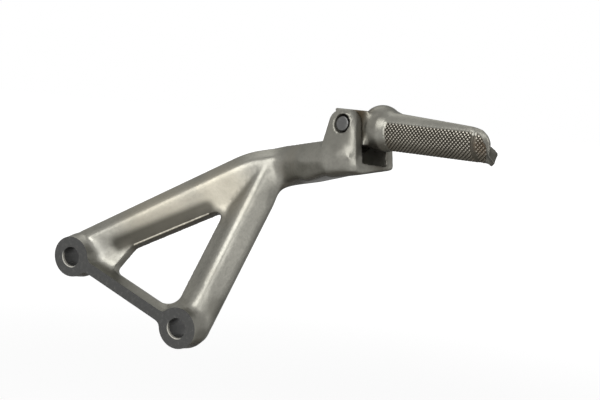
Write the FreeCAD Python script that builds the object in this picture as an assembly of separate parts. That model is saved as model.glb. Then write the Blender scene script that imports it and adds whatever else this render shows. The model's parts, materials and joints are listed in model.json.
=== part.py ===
import FreeCAD, Part
import math
import os

# Folding passenger footpeg on a cast wishbone bracket, in millimetres.
# The origin is on the machined mounting face, midway between the two bolt holes.
# The mounting face is the plane Y = 0 and looks along -Y, +Z is up, and the peg points along +X.

os.makedirs("parts", exist_ok=True)
Vec = FreeCAD.Vector

# Fixing end: two bosses joined by a bar, with one machined face
bolt_spacing = 76.4
bolt_line_drop = 22.0
boss_face_radius = 11.0
boss_swell = 1.6
boss_depth = 19.0
boss_back_round = 4.0
bolt_hole_radius = 5.25
bolt_hole_chamfer = 0.9
bar_width = 6.1
bar_depth = 10.5
bar_neck_round = 4.0

# Wishbone: both legs lie in one leaning plane, gable in front and flat behind
fork_lean = 22.5
fork_depth = 8.0
leg_ridge = 8.0
leg_back = 8.0
leg_back_draft = 0.8
long_leg_angle = 55.6
long_leg_reach = 13.2
long_leg_root_width = 20.6
long_leg_top_width = 25.6
long_leg_ridge_inset = 8.6
long_leg_length = 108.0
short_leg_angle = 96.6
short_leg_reach = 12.9
short_leg_width = 22.6
short_leg_ridge_inset = 10.2
ridge_round = 5.0
parting_round = 1.6
back_round = 2.5

leg_start = 4.0
bend_steps = 4

# Window between the legs
window_heel = 22.2
window_knee = 20.0
window_top_round = 3.0
window_knee_round = 7.0
window_heel_round = 2.5
window_toe_round = 9.0
web_rise = 1.0

# Arm from the top of the wishbone to the clevis: it starts in the wishbone's plane, then leaves it
elbow_round = 34.0
arm_lead = 17.0
arm_lead_angle = 37.3
knuckle_round = 14.0
knuckle_trim = 2.8
knuckle_share = 0.7
facet_inset = 0.2
arm_height = 18.9
arm_drop = 15.95
arm_front = 20.5
arm_ridge_drop = 1.5
arm_back = 12.0
arm_back_taper = 3.0
arm_shoulder = 16.8
arm_ridge_round = 7.0
bulge_top = 9.8
bulge_top_at = 1.4
bulge_low = 18.0
arm_edge_round = 4.0

# Clevis, set at a compound angle; reach, set-back and rise go to the middle of the hinge axis
arm_reach = 118.6
arm_set_back = 32.6
arm_rise = 99.2
clevis_heading = -12.7
clevis_climb = 11.6
clevis_roll = -6.3
slot_width = 21.6
ear_thickness = 7.0
ear_top = 7.6
ear_end = 7.6
ear_heel = 14.2
ear_back_corner = 6.9
ear_heel_round = 6.0
clevis_edge_round = 2.2
clevis_low_round = 6.5
clevis_bottom_slope = 9.5
slot_floor = 20.2
floor_thickness = 4.0
slot_back = 8.6
tail_gap = 0.4

# Hinge pin, washer and clip
pin_radius = 3.78
pin_fit = 0.02
pin_dome = 0.7
pin_recess = 0.3
counterbore_radius = 4.75
counterbore_depth = 2.6
washer_radius = 6.9
washer_thickness = 1.0
clip_radius = 6.4
clip_thickness = 0.9
clip_groove_depth = 0.7
clip_notch_radius = 1.5
clip_land = 0.7
pin_tail = 1.6

# Peg: distances run along its axis from the hinge axis
peg_droop = 12.0
hinge_clearance = 0.05
tongue_clearance = 0.25
heel_clearance = 0.1
tail_out = 9.2
tail_up = 10.1
tail_round = 0.8
heel_down = 13.0
heel_round = 2.0
tongue_under = 9.4
tongue_under_round = 6.0
root_start = 9.5
root_radius = 11.1
root_length = 6.5
neck_end = 20.0
root_edge_round = 1.0
hump_at = 12.5
hump_radius = 10.4
hump_rise = 2.1
grip_radius = 10.1
flat_root = 9.0
flat_root_at = 21.0
flat_tip = 6.0
flat_tip_at = 70.0
flat_step_round = 5.0
ring_groove_at = 70.3
ring_groove_width = 1.8
ring_groove_depth = 0.6
flare_start = 77.5
lip_radius = 13.0
lip_end = 86.0
lip_side = 125.0
end_far_at = 64.0
end_turn_at = 71.5
end_turn_side = 1.0
end_shoulder_at = 80.2
end_shoulder_side = 8.2
end_shoulder_bulge = 1.6
end_hollow = 0.9

# Detent ball and spring, in a blind hole in the far side of the tongue
ball_radius = 2.0
ball_stand_out = 0.8
ball_fit = 0.05
ball_track_clearance = 0.05
ball_pocket_extra = 0.35
ball_arm = 7.6
ball_angle = 237.0
ball_hole_depth = 11.0
spring_wire = 0.25
spring_sides = 6
spring_turns = 5
spring_gap = 0.35
fold_angle = 82.0


def unit(heading, climb):
    """Direction from its angle about Z and its angle above level, in degrees."""
    h = math.radians(heading)
    c = math.radians(climb)
    return Vec(math.cos(h) * math.cos(c), math.sin(h) * math.cos(c), math.sin(c))


def axes(origin, x_axis, z_axis):
    """Placement whose local X and Z point along the given directions."""
    return FreeCAD.Placement(origin, FreeCAD.Rotation(x_axis, z_axis.cross(x_axis), z_axis, "XZY"))


def placed(shape, placement):
    return shape.transformed(placement.toMatrix(), True)


def rounded_wire(corners, place):
    """Closed wire through (a, b, radius) corners, each rounded by a tangent arc, mapped by place(a, b)."""
    count = len(corners)
    starts = []
    ends = []
    middles = []
    for i in range(count):
        a, b, radius = corners[i]
        here = Vec(a, b, 0)
        back = Vec(corners[i - 1][0], corners[i - 1][1], 0) - here
        on = Vec(corners[(i + 1) % count][0], corners[(i + 1) % count][1], 0) - here
        back.normalize()
        on.normalize()
        half = back.getAngle(on) / 2
        reach = radius / math.tan(half)
        bisector = back + on
        bisector.normalize()
        starts.append(here + back * reach)
        ends.append(here + on * reach)
        middles.append(here + bisector * (radius / math.sin(half) - radius))
    edges = []
    for i in range(count):
        a, m, b = [place(p.x, p.y) for p in (starts[i], middles[i], ends[i])]
        edges.append(Part.Arc(a, m, b).toShape())
        nxt = starts[(i + 1) % count]
        edges.append(Part.LineSegment(b, place(nxt.x, nxt.y)).toShape())
    return Part.Wire(edges)


def prism(corners, placement, low, high):
    """Solid whose rounded outline is in the placement's XY plane, from low to high along its Z."""
    wire = rounded_wire(corners, lambda a, b: Vec(a, b, low))
    return placed(Part.Face(wire).extrude(Vec(0, 0, high - low)), placement)


def turned(profile, placement):
    """Solid of revolution about the placement's Z from (radius, z) points."""
    points = [Vec(r, 0, z) for r, z in profile]
    points.append(points[0])
    face = Part.Face(Part.makePolygon(points))
    return placed(face.revolve(Vec(), Vec(0, 0, 1), 360), placement)


# Frames of the wishbone and of the clevis
clevis_centre = Vec(arm_reach, arm_set_back, arm_rise)
bolt_line = unit(0, -bolt_line_drop)
face_up = unit(0, 90 - bolt_line_drop)
lean = math.radians(fork_lean)
fork_up = face_up * math.cos(lean) + Vec(0, math.sin(lean), 0)
fork_front = bolt_line.cross(fork_up)
fork = axes(Vec(0, fork_depth, 0), bolt_line, fork_front)

arm_way = unit(clevis_heading, clevis_climb)
level_side = Vec(0, 0, 1).cross(arm_way)
level_side.normalize()
roll = FreeCAD.Rotation(arm_way, clevis_roll)
clevis_up = roll.multVec(arm_way.cross(level_side))
clevis = axes(clevis_centre, arm_way, clevis_up)
hinge_axis = -clevis_up.cross(arm_way)
peg_way = FreeCAD.Rotation(hinge_axis, -peg_droop).multVec(arm_way)
peg_up = FreeCAD.Rotation(hinge_axis, -peg_droop).multVec(clevis_up)
peg = axes(clevis_centre, peg_way, peg_up)

slot_half = slot_width / 2
clevis_half = slot_half + ear_thickness


def gable_corners(outer, inner, wall, ridge_side, ridge_height, back, taper, edge_round, top_round):
    """Leg section: side coordinate a, front coordinate b, gable in front and flat back."""
    return [
        (outer, wall, edge_round),
        (ridge_side, ridge_height, top_round),
        (-inner, wall, edge_round),
        (-inner + taper, -back, back_round),
        (outer - taper, -back, back_round),
    ]


def section(corners, origin, side, front):
    return rounded_wire(corners, lambda a, b: origin + side * a + front * b)


def fork_point(x, y):
    return fork.multVec(Vec(x, y, 0))


def leg_frame(boss_x, angle, outer_sign):
    """Foot, direction and outward side of a leg in the wishbone's plane."""
    a = math.radians(angle)
    way = fork.Rotation.multVec(Vec(math.cos(a), math.sin(a), 0))
    side = fork.Rotation.multVec(Vec(-math.sin(a), math.cos(a), 0)) * outer_sign
    return fork_point(boss_x, 0), way, side


def long_leg_section(t):
    width = long_leg_root_width + (long_leg_top_width - long_leg_root_width) * t / long_leg_length
    inner = width - long_leg_reach
    return gable_corners(long_leg_reach, inner, 0, long_leg_reach - long_leg_ridge_inset, leg_ridge,
                         leg_back, leg_back_draft, parting_round, ridge_round)


def section_at(corners, origin, turn):
    return section(corners, origin, turn.multVec(Vec(0, 1, 0)), turn.multVec(Vec(0, 0, 1)))


def bend_wires(corner, way_in, way_out, radius, corners, turn_in, turn_out):
    """Sections round a rounded corner between two straight runs."""
    axis = way_in.cross(way_out)
    axis.normalize()
    angle = way_in.getAngle(way_out)
    start = corner - way_in * (radius * math.tan(angle / 2))
    hub = start + axis.cross(way_in) * radius
    wires = []
    for step in range(bend_steps + 1):
        share = step / bend_steps
        spin = FreeCAD.Rotation(axis, math.degrees(angle * share))
        wires.append(section_at(corners, hub + spin.multVec(start - hub), turn_in.slerp(turn_out, share)))
    return wires


def beyond_side(corners, origin, turn):
    """Air outside a section's outer facet and outer wall, which the short leg must not reach."""
    along, across_way = turn.multVec(Vec(1, 0, 0)), turn.multVec(Vec(0, 1, 0))
    outer, ridge = [turn.multVec(Vec(0, c[0], c[1])) + origin for c in corners[:2]]
    wide = 2 * long_leg_length
    facet_up = along.cross(ridge - outer)
    if facet_up.dot(across_way) < 0:
        facet_up = -facet_up
    facet_up.normalize()
    air = []
    for up in (facet_up, across_way):
        box = Part.makeBox(wide, wide, wide)
        box.translate(Vec(-wide / 2, -wide / 2, -facet_inset))
        air.append(placed(box, axes(outer, along, up)))
    return air


def nearest_on(foot, way, other, other_way):
    """Distance along the first line at which it comes closest to the second."""
    normal = way.cross(other_way)
    return (other - foot).cross(other_way).dot(normal) / normal.dot(normal)


def legs_and_arm():
    """The long leg bends twice into the arm, and the short leg runs up under the ridge of both."""
    foot, way, side = leg_frame(-bolt_spacing / 2, long_leg_angle, 1)
    centre = long_leg_reach - long_leg_top_width / 2
    elbow = foot + way * long_leg_length + side * centre
    lead_angle = math.radians(arm_lead_angle)
    lead = fork.Rotation.multVec(Vec(math.cos(lead_angle), math.sin(lead_angle), 0))
    knuckle = elbow + lead * arm_lead
    arm_end = clevis.multVec(Vec(-slot_back - clevis_edge_round, 0, -arm_drop))
    tail_end = clevis.multVec(Vec(ear_end - clevis_edge_round, 0, -arm_drop))
    run = arm_end - knuckle
    run.normalize()
    leg_turn = FreeCAD.Rotation(way, side, fork_front, "XZY")
    lead_turn = FreeCAD.Rotation(lead, fork_front.cross(lead), fork_front, "XZY")
    arm_turn = FreeCAD.Rotation(arm_way, clevis_up, hinge_axis, "XZY")
    out_turn = lead_turn.slerp(arm_turn, knuckle_share)
    leg_corners = [(a - centre, b, r) for a, b, r in long_leg_section(long_leg_length)]
    leg_half = long_leg_top_width / 2
    half = arm_height / 2
    end_corners = gable_corners(half, half, arm_shoulder, -arm_ridge_drop, arm_front, arm_back,
                                arm_back_taper, arm_edge_round, arm_ridge_round)

    low = section(long_leg_section(leg_start), foot + way * leg_start, side, fork_front)
    elbow_wires = bend_wires(elbow, way, lead, elbow_round, leg_corners, leg_turn, lead_turn)
    knuckle_corners = [(max(a, knuckle_trim - leg_half), b, r) for a, b, r in leg_corners]
    knuckle_wires = bend_wires(knuckle, lead, run, knuckle_round, knuckle_corners, lead_turn, out_turn)
    end_wire = section_at(end_corners, arm_end, arm_turn)
    limb = [Part.makeLoft([low, elbow_wires[0]], True, True),
            Part.makeLoft(elbow_wires, True, False),
            Part.makeLoft([elbow_wires[-1], knuckle_wires[0]], True, True),
            Part.makeLoft(knuckle_wires, True, False),
            Part.makeLoft([knuckle_wires[-1], end_wire], True, True),
            Part.makeLoft([end_wire, section_at(end_corners, tail_end, arm_turn)], True, True)]

    foot, way, side = leg_frame(bolt_spacing / 2, short_leg_angle, -1)
    inner = short_leg_width - short_leg_reach
    corners = gable_corners(short_leg_reach, inner, 0, short_leg_reach - short_leg_ridge_inset,
                            leg_ridge, leg_back, leg_back_draft, parting_round, ridge_round)
    top = nearest_on(foot, way, elbow, lead) + long_leg_top_width
    short_leg = Part.makeLoft([section(corners, foot + way * t, side, fork_front) for t in (leg_start, top)],
                              True, True)
    for air in beyond_side(leg_corners, elbow, leg_turn) + beyond_side(leg_corners, knuckle, lead_turn):
        short_leg = short_leg.cut(air)
    return limb[0].fuse(limb[1:] + [short_leg])


def meet(point_a, way_a, point_b, way_b):
    """Where two lines in the wishbone's plane cross, as x and y."""
    cross = way_a[0] * way_b[1] - way_a[1] * way_b[0]
    dx = point_b[0] - point_a[0]
    dy = point_b[1] - point_a[1]
    t = (dx * way_b[1] - dy * way_b[0]) / cross
    return point_a[0] + way_a[0] * t, point_a[1] + way_a[1] * t


def inner_line(boss_x, angle, outer_sign, reach, width_low, width_high, length):
    """Inner edge of a leg as a point and a direction in the wishbone's plane."""
    a = math.radians(angle)
    way = (math.cos(a), math.sin(a))
    side = (-math.sin(a) * outer_sign, math.cos(a) * outer_sign)
    low = (boss_x + side[0] * (reach - width_low), side[1] * (reach - width_low))
    high = (boss_x + way[0] * length + side[0] * (reach - width_high),
            way[1] * length + side[1] * (reach - width_high))
    return low, (high[0] - low[0], high[1] - low[1])


def window_corners():
    """Corners of the opening: top, knee, heel and toe."""
    long_edge = inner_line(-bolt_spacing / 2, long_leg_angle, 1, long_leg_reach,
                           long_leg_root_width, long_leg_top_width, long_leg_length)
    short_edge = inner_line(bolt_spacing / 2, short_leg_angle, -1, short_leg_reach,
                            short_leg_width, short_leg_width, long_leg_length)
    foot = bar_width / 2 / math.cos(lean)
    base = ((0, foot), (1, 0))
    knee = meet(*long_edge, (0, window_knee), (1, 0))
    top = meet(*long_edge, *short_edge)
    toe = meet(*short_edge, *base)
    heel = (window_heel - bolt_spacing / 2, foot)
    return [top + (window_top_round,), knee + (window_knee_round,),
            heel + (window_heel_round,), toe + (window_toe_round,)]


def web():
    """Flat web that fills the corners between the legs and the bar."""
    corners = window_corners()
    half = bolt_spacing / 2
    outline = [(-half, 0, 1), (half, 0, 1), (corners[0][0] + 6, corners[0][1] + 8, 1),
               (corners[0][0] - 6, corners[0][1] + 8, 1)]
    return prism(outline, fork, -leg_back + 0.5, web_rise)


def boss(sign):
    """One boss, a little wider at mid depth than at its face, with a rounded back."""
    widest = boss_face_radius + boss_swell
    mid = boss_depth / 2
    side = axes(bolt_line * (sign * bolt_spacing / 2), bolt_line, Vec(0, 1, 0))
    body = turned([(0, 0), (boss_face_radius, 0), (widest, mid), (boss_face_radius, boss_depth),
                   (0, boss_depth)], side)
    back = [e for e in body.Edges if e.Length > boss_face_radius * 5 and e.CenterOfMass.y > mid + 1]
    return body.makeFillet(boss_back_round, back)


def bar():
    """Bar between the bosses, with rounded necks where it meets them."""
    half = bar_width / 2
    rise = half + bar_neck_round
    reach = boss_face_radius + bar_neck_round
    run = math.sqrt(reach * reach - rise * rise)
    cx = bolt_spacing / 2
    neck = cx - run
    touch = boss_face_radius / reach
    edges = []
    for flip in (1, -1):
        on_left = Vec(-cx + run * touch, flip * rise * touch, 0)
        on_right = Vec(cx - run * touch, flip * rise * touch, 0)
        low_left = Vec(-neck, flip * half, 0)
        low_right = Vec(neck, flip * half, 0)
        hub_left = Vec(-neck, flip * rise, 0)
        hub_right = Vec(neck, flip * rise, 0)
        bend_left = on_left + low_left - hub_left * 2
        bend_left.normalize()
        bend_right = on_right + low_right - hub_right * 2
        bend_right.normalize()
        mid_left = hub_left + bend_left * bar_neck_round
        mid_right = hub_right + bend_right * bar_neck_round
        edges += [Part.LineSegment(Vec(-cx, 0, 0), on_left).toShape(),
                  Part.Arc(on_left, mid_left, low_left).toShape(),
                  Part.LineSegment(low_left, low_right).toShape(),
                  Part.Arc(low_right, mid_right, on_right).toShape(),
                  Part.LineSegment(on_right, Vec(cx, 0, 0)).toShape()]
    wire = Part.Wire(Part.__sortEdges__(edges))
    face = Part.Face(wire).extrude(Vec(0, 0, bar_depth))
    return placed(face, axes(Vec(), bolt_line, Vec(0, 1, 0)))


def clevis_block():
    """Both ears and the floor before the slot is cut, with a sloping underside and rounded rims."""
    bottom = -slot_floor - floor_thickness
    deep = 2 * bottom
    arm_top = -arm_drop + arm_height / 2
    corner = ear_back_corner
    ear = [(ear_end, ear_top, ear_top - 0.2), (-corner, ear_top, corner - 0.2),
           (-ear_heel, arm_top - 3, ear_heel_round), (-ear_heel, deep, 2.0), (ear_end, deep, 2.0)]
    side = FreeCAD.Placement(clevis_centre, FreeCAD.Rotation(arm_way, clevis_up, hinge_axis, "XZY"))
    block = prism(ear, side, -clevis_half, clevis_half)
    wide = 4 * clevis_half
    under = Part.makeBox(wide, wide, wide)
    under.translate(Vec(-wide / 2, -wide / 2, -wide))
    under.rotate(Vec(), Vec(1, 0, 0), clevis_bottom_slope)
    under.translate(Vec(0, 0, bottom))
    block = block.cut(placed(under, clevis))
    low_near = []
    for edge in block.Edges:
        middle = side.inverse().multVec(edge.CenterOfMass)
        if abs(middle.z - clevis_half) < 0.01 and middle.y < 1.05 * bottom:
            low_near.append(edge)
    block = block.makeFillet(clevis_low_round, low_near)
    rim = []
    for edge in block.Edges:
        middle = side.inverse().multVec(edge.CenterOfMass)
        on_side = abs(abs(middle.z) - clevis_half) < 0.01 and middle.x > -ear_heel + 0.1
        if on_side and middle.y > 0.85 * bottom:
            rim.append(edge)
        elif abs(middle.x - ear_end) < 0.01 and middle.y < 0.85 * bottom:
            rim.append(edge)
    return block.makeFillet(clevis_edge_round, rim)


def slot():
    """The slot's air: open at the top and at the end."""
    reach = ear_end + 20
    box = Part.makeBox(slot_back + reach, slot_width, slot_floor + ear_top + 20)
    box.translate(Vec(-slot_back, -slot_half, -slot_floor))
    return placed(box, clevis)


def near_face():
    """Air beyond the near ear's flat face, past the slanting end of the arm's bulge."""
    side = FreeCAD.Placement(clevis_centre, FreeCAD.Rotation(arm_way, clevis_up, hinge_axis, "XZY"))
    wide = 4 * clevis_half
    end = ear_end - clevis_edge_round
    outline = [(-ear_heel, -bulge_top, 0.5), (bulge_top_at, -bulge_top, 1.0), (end, -bulge_low, 0.5),
               (end + 1, -wide, 0.5), (wide, -wide, 1.0), (wide, wide, 1.0), (-ear_heel, wide, 1.0)]
    return prism(outline, side, clevis_half, wide)


def tail_pocket():
    """Room above the arm for the peg's tail, which lands on its floor when the peg is folded."""
    reach = math.hypot(tail_out, tail_up)
    landing = math.atan2(tail_up, -tail_out) + math.radians(fold_angle)
    floor = reach * math.sin(landing) - tail_gap
    swing = Part.makeCylinder(reach + tail_gap, slot_width, Vec(0, -slot_half, 0), Vec(0, 1, 0))
    low = Part.makeBox(4 * reach, 2 * slot_width, 2 * reach)
    low.translate(Vec(-2 * reach, -slot_width, floor - 2 * reach))
    return placed(swing.cut(low), clevis)


def across(radius, low, high, x=0.0, z=0.0, home=clevis):
    """Round bar along the hinge axis, from low to high towards the far ear."""
    rod = Part.makeCylinder(radius, high - low, Vec(x, low, z), Vec(0, 1, 0))
    return placed(rod, home)


def ball_spot(angle):
    """Ball centre in the clevis, with the peg folded by the given angle."""
    a = math.radians(ball_angle - peg_droop + angle)
    depth = slot_half - tongue_clearance + ball_stand_out - ball_radius
    return Vec(ball_arm * math.cos(a), depth, ball_arm * math.sin(a))


def ball_track():
    """Arc groove in the far ear that the ball runs in, with a deeper pocket at each end."""
    air = ball_radius + ball_track_clearance
    start = ball_spot(0)
    outward = Vec(start.x, 0, start.z)
    outward.normalize()
    ring = Part.Face(Part.Wire(Part.Circle(start, outward.cross(Vec(0, 1, 0)), air).toShape()))
    ring = ring.revolve(Vec(), Vec(0, -1, 0), fold_angle)
    solids = [ring]
    for angle in (0, fold_angle):
        solids.append(Part.makeSphere(air, ball_spot(angle) + Vec(0, ball_pocket_extra, 0)))
        solids.append(Part.makeSphere(air, ball_spot(angle)))
    return [placed(s, clevis) for s in solids]


def make_bracket():
    body = legs_and_arm()
    body = body.fuse([web(), bar(), boss(-1), boss(1), clevis_block()])
    reach = bolt_spacing * 3
    body = body.cut(prism(window_corners(), fork, -reach, reach))
    waste = Part.makeBox(reach, reach, reach)
    waste.translate(Vec(-reach / 2, -reach, -reach / 2))
    cuts = [waste, slot(), tail_pocket(), near_face()]
    for sign in (-1, 1):
        hole = axes(bolt_line * (sign * bolt_spacing / 2), bolt_line, Vec(0, 1, 0))
        r = bolt_hole_radius
        c = bolt_hole_chamfer
        cuts.append(turned([(0, -1), (r + c + 1, -1), (r, c), (r, boss_depth + 1),
                            (0, boss_depth + 1)], hole))
    cuts.append(across(pin_radius + pin_fit, -clevis_half - 1, clevis_half + 1))
    cuts.append(across(counterbore_radius, -clevis_half - 1, -clevis_half + counterbore_depth))
    cuts += ball_track()
    for cut in cuts:
        body = body.cut(cut)
    return body.removeSplitter()


def make_pin():
    """Pressed in the ears: domed end in the near ear, clip groove beyond the far one."""
    near = -clevis_half + pin_recess
    far_end = clevis_half + washer_thickness + clip_thickness + pin_tail
    rod = across(pin_radius, near, far_end)
    ends = [e for e in rod.Edges if abs(e.Length - 2 * math.pi * pin_radius) < 0.01]
    rod = rod.makeFillet(pin_dome, ends)
    groove_start = clevis_half + washer_thickness
    ring = across(pin_radius + 1, groove_start, groove_start + clip_thickness)
    core = across(pin_radius - clip_groove_depth, groove_start - 1, groove_start + clip_thickness + 1)
    return rod.cut(ring.cut(core))


def make_washer():
    face = clevis_half
    disc = across(washer_radius, face, face + washer_thickness)
    return disc.cut(across(pin_radius + 0.1, face - 1, face + washer_thickness + 1))


def make_clip():
    """Spring clip in the pin's groove, open at its mouth."""
    start = clevis_half + washer_thickness
    stop = start + clip_thickness
    seat = pin_radius - clip_groove_depth + pin_fit
    disc = across(clip_radius, start, stop)
    disc = disc.cut(across(seat, start - 1, stop + 1))
    for turn in (30, 150):
        a = math.radians(turn)
        notch_arm = pin_radius + clip_land
        disc = disc.cut(across(clip_notch_radius, start - 1, stop + 1, notch_arm * math.cos(a),
                               notch_arm * math.sin(a)))
    mouth = Part.makeBox(2 * seat - 0.5, clip_thickness + 2, clip_radius + 2)
    mouth.translate(Vec(-seat + 0.25, start - 1, -clip_radius - 2))
    return disc.cut(placed(mouth, clevis))


def peg_round(radius_pairs):
    """Solid turned about the peg's own axis from (distance, radius) points."""
    points = [Vec(x, 0, r) for x, r in radius_pairs]
    points.append(points[0])
    face = Part.Face(Part.makePolygon(points))
    return face.revolve(Vec(), Vec(1, 0, 0), 360)


def rest_to_peg(x, z):
    """Turn a point of the clevis's side view, at rest, into the peg's side view."""
    a = math.radians(peg_droop)
    return x * math.cos(a) - z * math.sin(a), x * math.sin(a) + z * math.cos(a)


def make_tongue():
    """Flat tongue between the ears, with its tail above the arm and its heel on the slot's back wall."""
    half = slot_half - tongue_clearance
    wall = -slot_back + heel_clearance
    tail = rest_to_peg(-tail_out, tail_up)
    heel = rest_to_peg(wall, -heel_down)
    inside = root_start + root_edge_round
    corners = [(inside, tail[1], 0.3), tail + (tail_round,),
               rest_to_peg(wall, 0) + (12.0,), heel + (heel_round,),
               (0, -tongue_under, tongue_under_round), (inside, -tongue_under, 0.3)]
    wire = rounded_wire(corners, lambda a, b: Vec(a, -half, b))
    return Part.Face(wire).extrude(Vec(0, 2 * half, 0))


def end_cut():
    """Air beyond the oblique, scooped end: flat at the far side, then a shoulder and the lip."""
    a = math.radians(lip_side)
    toward = Vec(0, -math.sin(a), math.cos(a))
    across_way = Vec(1, 0, 0).cross(toward)
    depth = 2 * lip_radius

    def spot(x, side):
        return Vec(x, 0, 0) + toward * side - across_way * depth

    far_side = spot(end_far_at, -lip_radius)
    turn = spot(end_turn_at, end_turn_side)
    shoulder = spot(end_shoulder_at, end_shoulder_side)
    tip = spot(lip_end, lip_radius)
    out = Vec(1, 0, 0)
    slant = out - toward
    slant.normalize()
    bulge = (turn + shoulder) / 2 + slant * end_shoulder_bulge
    hollow = (shoulder + tip) / 2 - slant * end_hollow
    edges = [Part.LineSegment(far_side, turn).toShape(),
             Part.Arc(turn, bulge, shoulder).toShape(),
             Part.Arc(shoulder, hollow, tip).toShape()]
    beyond = [tip, tip + out * depth, far_side + out * 2 * depth, far_side]
    for one, two in zip(beyond, beyond[1:]):
        edges.append(Part.LineSegment(one, two).toShape())
    return Part.Face(Part.Wire(edges)).extrude(across_way * 2 * depth)


def grip_top():
    """Air above the sloping flat, ending in a rounded step behind the hump."""
    run = flat_tip_at - flat_root_at
    slope = (flat_root - flat_tip) / run
    ahead = lip_end + 20 - flat_root_at
    half = 2 * grip_radius
    corners = [(flat_root_at - 3, flat_root + 3 * slope, flat_step_round), (flat_root_at - 3, half * 2, 1.0),
               (flat_root_at + ahead, half * 2, 1.0),
               (flat_root_at + ahead, flat_root - slope * ahead, 1.0)]
    wire = rounded_wire(corners, lambda a, b: Vec(a, -half, b))
    return Part.Face(wire).extrude(Vec(0, 2 * half, 0))


def make_footpeg():
    start = root_start
    root = peg_round([(start, 0), (start, root_radius), (start + root_length, root_radius),
                      (neck_end, grip_radius), (neck_end + 2, grip_radius), (neck_end + 2, 0)])
    front_rim = [e for e in root.Edges
                 if e.Length > 6 * root_radius and abs(e.CenterOfMass.x - start) < 0.01]
    root = root.makeFillet(root_edge_round, front_rim)
    hump = Part.makeSphere(hump_radius, Vec(hump_at, 0, hump_rise))
    groove = ring_groove_at
    width = ring_groove_width
    mid_flare = (flare_start + lip_end) / 2
    grip = peg_round([(neck_end - 1, 0), (neck_end - 1, grip_radius), (groove, grip_radius),
                      (groove + width / 3, grip_radius - ring_groove_depth),
                      (groove + 2 * width / 3, grip_radius - ring_groove_depth),
                      (groove + width, grip_radius), (flare_start, grip_radius),
                      (mid_flare, grip_radius + (lip_radius - grip_radius) / 4),
                      (lip_end, lip_radius), (lip_end + 1, 0)])
    top = grip_top()
    body = grip.fuse([root, hump]).cut(top)
    body = body.cut(end_cut())
    body = body.fuse(make_tongue())
    bore = Part.makeCylinder(pin_radius + hinge_clearance, 60, Vec(0, -30, 0), Vec(0, 1, 0))
    body = placed(body.cut(bore), peg)
    spot = ball_spot(0)
    face = slot_half - tongue_clearance
    body = body.cut(across(ball_radius + ball_fit, face - ball_hole_depth, face + 1, spot.x, spot.z))
    return body.removeSplitter()


def make_ball():
    return placed(Part.makeSphere(ball_radius, ball_spot(0)), clevis)


def make_spring():
    """Compression spring between the blind end of its hole and the ball."""
    spot = ball_spot(0)
    face = slot_half - tongue_clearance
    low = face - ball_hole_depth + spring_wire
    high = spot.y - ball_radius * 0.75 - spring_wire
    radius = ball_radius - spring_wire - spring_gap
    pitch = (high - low) / spring_turns
    coil = Part.makeHelix(pitch, high - low, radius)
    corners = []
    for step in range(spring_sides + 1):
        a = 2 * math.pi * step / spring_sides
        corners.append(Vec(radius + spring_wire * math.cos(a), 0, spring_wire * math.sin(a)))
    body = Part.Wire(coil.Edges).makePipeShell([Part.makePolygon(corners)], True, True)
    body.rotate(Vec(), Vec(1, 0, 0), -90)
    body.translate(Vec(spot.x, low, spot.z))
    return placed(body, clevis)


nodes = {
    "bracket": make_bracket,
    "footpeg": make_footpeg,
    "hinge_pin": make_pin,
    "pin_washer": make_washer,
    "retaining_clip": make_clip,
    "detent_ball": make_ball,
    "detent_spring": make_spring,
}
for name, build in nodes.items():
    shape = build()
    solids = shape.Solids
    shape = solids[0] if len(solids) == 1 else Part.makeCompound(solids)
    shape.exportStep("parts/" + name + ".step")
    print(name, len(solids), round(shape.Volume, 1), shape.isValid())
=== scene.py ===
import bpy, bmesh, json, math
import numpy as np
from mathutils import Matrix, Vector


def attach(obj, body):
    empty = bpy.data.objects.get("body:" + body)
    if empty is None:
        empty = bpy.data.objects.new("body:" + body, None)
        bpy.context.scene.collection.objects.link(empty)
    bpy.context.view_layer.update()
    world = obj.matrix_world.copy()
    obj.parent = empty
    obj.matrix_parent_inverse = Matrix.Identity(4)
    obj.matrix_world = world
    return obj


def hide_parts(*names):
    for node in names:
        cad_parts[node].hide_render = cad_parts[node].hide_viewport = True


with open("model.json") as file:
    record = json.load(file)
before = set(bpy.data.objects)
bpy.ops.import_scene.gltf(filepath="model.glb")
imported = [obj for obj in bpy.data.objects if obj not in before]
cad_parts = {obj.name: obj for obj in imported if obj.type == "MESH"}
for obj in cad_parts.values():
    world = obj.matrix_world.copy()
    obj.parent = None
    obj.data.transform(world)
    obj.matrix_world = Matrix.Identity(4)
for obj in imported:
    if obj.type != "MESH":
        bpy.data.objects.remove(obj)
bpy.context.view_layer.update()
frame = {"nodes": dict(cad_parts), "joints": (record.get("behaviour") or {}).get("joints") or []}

joint = frame["joints"][0]
mm = 0.001


def smoothStep(low, high, x):
    t = np.clip((x - low) / (high - low), 0, 1)
    return t * t * (3 - 2 * t)


def meshObject(name, mesh):
    obj = bpy.data.objects.new(name, mesh)
    bpy.context.scene.collection.objects.link(obj)
    return obj


def evaluated(obj, name):
    # the modifiers' result as a plain mesh, and the source object gone
    graph = bpy.context.evaluated_depsgraph_get()
    mesh = bpy.data.meshes.new_from_object(obj.evaluated_get(graph))
    mesh.name = name
    bpy.data.objects.remove(obj)
    return mesh


def readPoints(mesh):
    flat = np.empty(len(mesh.vertices) * 3)
    mesh.vertices.foreach_get("co", flat)
    return flat.reshape(-1, 3)


def writePoints(mesh, points):
    mesh.vertices.foreach_set("co", np.ascontiguousarray(points).ravel())
    mesh.update()


def normals(mesh):
    flat = np.empty(len(mesh.vertices) * 3)
    mesh.vertices.foreach_get("normal", flat)
    return flat.reshape(-1, 3)


def neighbours(mesh):
    flat = np.empty(len(mesh.edges) * 2, int)
    mesh.edges.foreach_get("vertices", flat)
    pairs = flat.reshape(-1, 2)
    a = np.concatenate([pairs[:, 0], pairs[:, 1]])
    b = np.concatenate([pairs[:, 1], pairs[:, 0]])
    return a, b, np.maximum(np.bincount(a, minlength=len(mesh.vertices)), 1)


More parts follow.
